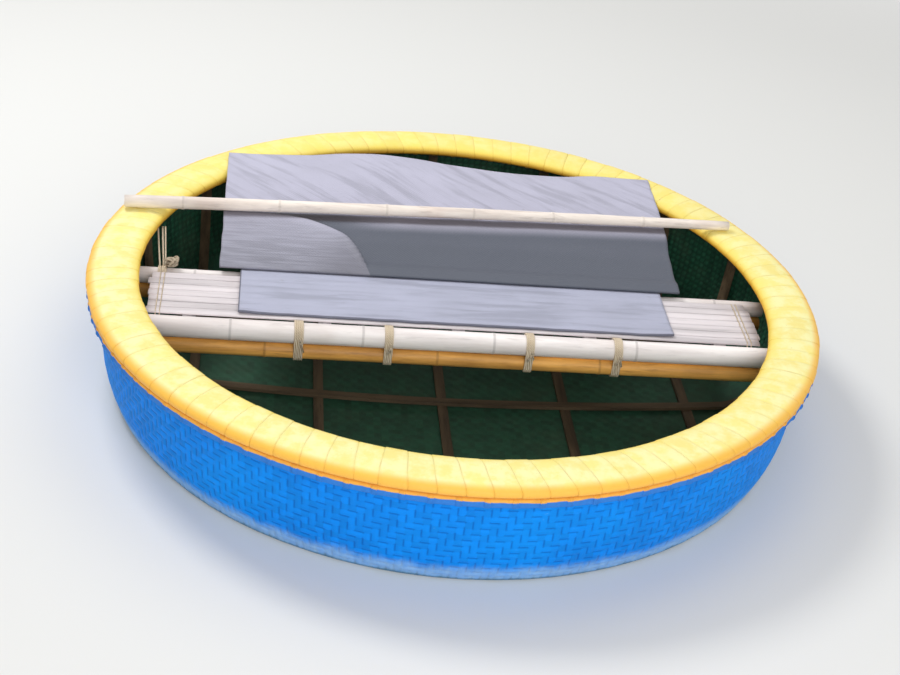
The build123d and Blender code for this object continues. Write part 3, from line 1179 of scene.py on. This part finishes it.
def make_floor(paint):
    """A plain floor at the waterline, open where the hull stands in it."""
    hole = section_point(2.0)[0].x - skin_wall / 2
    bm = bmesh.new()
    circle = bmesh.ops.create_circle(bm, segments=160, radius=hole, cap_ends=False)["verts"]
    border = list({edge for vert in circle for edge in vert.link_edges})
    # How much wider each ring is than the last
    for growth in (1.6, 3.0, 8.0):
        made = bmesh.ops.extrude_edge_only(bm, edges=border)["geom"]
        verts = [item for item in made if isinstance(item, bmesh.types.BMVert)]
        bmesh.ops.scale(bm, vec=(growth, growth, 1), verts=verts)
        border = [item for item in made if isinstance(item, bmesh.types.BMEdge)]
    bmesh.ops.recalc_face_normals(bm, faces=bm.faces)
    finish = Finish("floor_pale", roughness=0.9, specular_ior_level=0.1)
    finish.feed("Base Color", shade(paint.floor))
    # Far off, the camera sees the floor as white as the background
    x, y, _ = finish.parts(finish.place())
    fade_start, fade_end = 3.2, 7.0
    far = (x * x + y * y).math("SQRT").step(fade_start, fade_end)
    seen = finish.node("ShaderNodeLightPath", {}, {}, "Is Camera Ray")
    white = finish.node("ShaderNodeEmission", {}, {"Color": (1, 1, 1, 1), "Strength": 1.0})
    plain = Socket(finish, finish.shader.outputs[0])
    mixed = finish.node("ShaderNodeMixShader", {}, [far * seen, plain, white])
    finish.show("Material Output", mixed)
    put_mesh("floor", bm, [finish.material])


def make_lamps():
    """Three soft lamps, all turned to the middle of the boat."""
    # Name, place, width and power
    lamps = (
        ("key", (-2.4, 2.0, 4.6), 1.8, 135),
        ("fill", (0.4, -5.4, 2.6), 4.0, 150),
        ("top", (1.8, 2.2, 5.0), 4.0, 40),
    )
    for name, spot, size, power in lamps:
        data = bpy.data.lights.new(name, "AREA")
        data.shape = "DISK"
        data.size, data.energy = size, power
        lamp = put(name, data)
        lamp.location = spot
        lamp.rotation_euler = (-Vector(spot)).to_track_quat("-Z", "Y").to_euler()


def make_world():
    """A world that is white to look at and in mirrors, and dimmer as light."""
    light_strength, seen_strength = 0.52, 1.0
    world = bpy.data.worlds.new("studio")
    bpy.context.scene.world = world
    world.use_nodes = True
    graph = Graph(world.node_tree)
    camera, glossy, clear = [
        graph.node("ShaderNodeLightPath", {}, {}, f"Is {kind} Ray")
        for kind in ("Camera", "Glossy", "Transmission")
    ]
    seen = camera.math("MAXIMUM", glossy).math("MAXIMUM", clear)
    skies = [
        graph.node("ShaderNodeBackground", {}, {"Color": (1, 1, 1, 1), "Strength": strength})
        for strength in (light_strength, seen_strength)
    ]
    graph.show("World Output", graph.node("ShaderNodeMixShader", {}, [seen, *skies]))


def make_camera():
    """The camera, held a little askew as in the photo."""
    eye = Vector((-0.555, -4.212, 2.584))
    aim = Vector((0.0, 0.0, 0.13))
    lean = math.radians(6.9)
    data = bpy.data.cameras.new("camera")
    data.lens, data.sensor_width = 70, 36
    camera = put("camera", data)
    level = (aim - eye).to_track_quat("-Z", "Y")
    roll = Quaternion((0, 0, 1), lean)
    camera.matrix_world = Matrix.Translation(eye) @ (level @ roll).to_matrix().to_4x4()
    bpy.context.scene.camera = camera


def make_stage(shape, paint):
    make_floor(paint)
    make_lamps()
    make_world()
    make_camera()
    bpy.context.scene.view_settings.view_transform = "Standard"


# ---- Operators


def run(build, context):
    scene = context.scene
    build(scene.coracle_shape, scene.coracle_paint)
    return {"FINISHED"}


class CORACLE_OT_woven_skin(bpy.types.Operator):
    """Weave the painted skin"""

    bl_idname = "coracle.woven_skin"
    bl_label = "Woven skin"

    def execute(self, context):
        return run(make_woven_skin, context)


class CORACLE_OT_wrapped_rim(bpy.types.Operator):
    """Wrap the rim's cap in bands"""

    bl_idname = "coracle.wrapped_rim"
    bl_label = "Wrapped rim"

    def execute(self, context):
        return run(make_wrapped_rim, context)


class CORACLE_OT_hoops(bpy.types.Operator):
    """Make both cane hoops and their bindings"""

    bl_idname = "coracle.hoops"
    bl_label = "Cane hoops"

    def execute(self, context):
        return run(make_hoops, context)


class CORACLE_OT_rails(bpy.types.Operator):
    """Make the bench's rails and the beams below them"""

    bl_idname = "coracle.rails"
    bl_label = "Rails and beams"

    def execute(self, context):
        return run(make_rails, context)


class CORACLE_OT_slats(bpy.types.Operator):
    """Lay the slats of the bench"""

    bl_idname = "coracle.slats"
    bl_label = "Slats"

    def execute(self, context):
        return run(make_slats, context)


class CORACLE_OT_lashings(bpy.types.Operator):
    """Wind the cord lashings round the rails and beams"""

    bl_idname = "coracle.lashings"
    bl_label = "Lashings"

    def execute(self, context):
        return run(make_lashings, context)


class CORACLE_OT_ties(bpy.types.Operator):
    """Add the thin ties, the corner strings and their hank"""

    bl_idname = "coracle.ties"
    bl_label = "Ties and strings"

    def execute(self, context):
        return run(make_ties, context)


class CORACLE_OT_seat_mat(bpy.types.Operator):
    """Lay the seat mat on the slats"""

    bl_idname = "coracle.seat_mat"
    bl_label = "Seat mat"

    def execute(self, context):
        return run(make_seat_mat, context)


class CORACLE_OT_rear_mat(bpy.types.Operator):
    """Lay the rear mat from the bench to the rim"""

    bl_idname = "coracle.rear_mat"
    bl_label = "Rear mat"

    def execute(self, context):
        return run(make_rear_mat, context)


class CORACLE_OT_pole(bpy.types.Operator):
    """Lay the pole across the rim"""

    bl_idname = "coracle.pole"
    bl_label = "Pole"

    def execute(self, context):
        return run(make_pole, context)


class CORACLE_OT_carried_parts(bpy.types.Operator):
    """Finish the ribs and crossbars"""

    bl_idname = "coracle.carried_parts"
    bl_label = "Ribs and crossbars"

    def execute(self, context):
        return run(finish_carried_parts, context)


class CORACLE_OT_stage(bpy.types.Operator):
    """Set the floor, lamps, world and camera"""

    bl_idname = "coracle.stage"
    bl_label = "Stage"

    def execute(self, context):
        return run(make_stage, context)


operators = (
    CORACLE_OT_woven_skin,
    CORACLE_OT_wrapped_rim,
    CORACLE_OT_hoops,
    CORACLE_OT_rails,
    CORACLE_OT_slats,
    CORACLE_OT_lashings,
    CORACLE_OT_ties,
    CORACLE_OT_seat_mat,
    CORACLE_OT_rear_mat,
    CORACLE_OT_pole,
    CORACLE_OT_carried_parts,
    CORACLE_OT_stage,
)


class CORACLE_PT_pieces(bpy.types.Panel):
    """Sizes, colours and pieces of the coracle"""

    bl_label = "Coracle"
    bl_idname = "CORACLE_PT_pieces"
    bl_space_type = "VIEW_3D"
    bl_region_type = "UI"
    bl_category = "Coracle"

    def draw(self, context):
        for group in (context.scene.coracle_shape, context.scene.coracle_paint):
            box = self.layout.box()
            for key in group.__annotations__:
                box.prop(group, key)
        for operator in operators:
            self.layout.operator(operator.bl_idname)


classes = (CoracleShape, CoraclePaint, *operators, CORACLE_PT_pieces)


def register():
    for item in classes:
        bpy.utils.register_class(item)
    bpy.types.Scene.coracle_shape = bpy.props.PointerProperty(type=CoracleShape)
    bpy.types.Scene.coracle_paint = bpy.props.PointerProperty(type=CoraclePaint)


def unregister():
    del bpy.types.Scene.coracle_paint
    del bpy.types.Scene.coracle_shape
    for item in reversed(classes):
        bpy.utils.unregister_class(item)


def main():
    register()
    for operator in operators:
        group, name = operator.bl_idname.split(".")
        getattr(getattr(bpy.ops, group), name)()


if __name__ == "__main__":
    main()
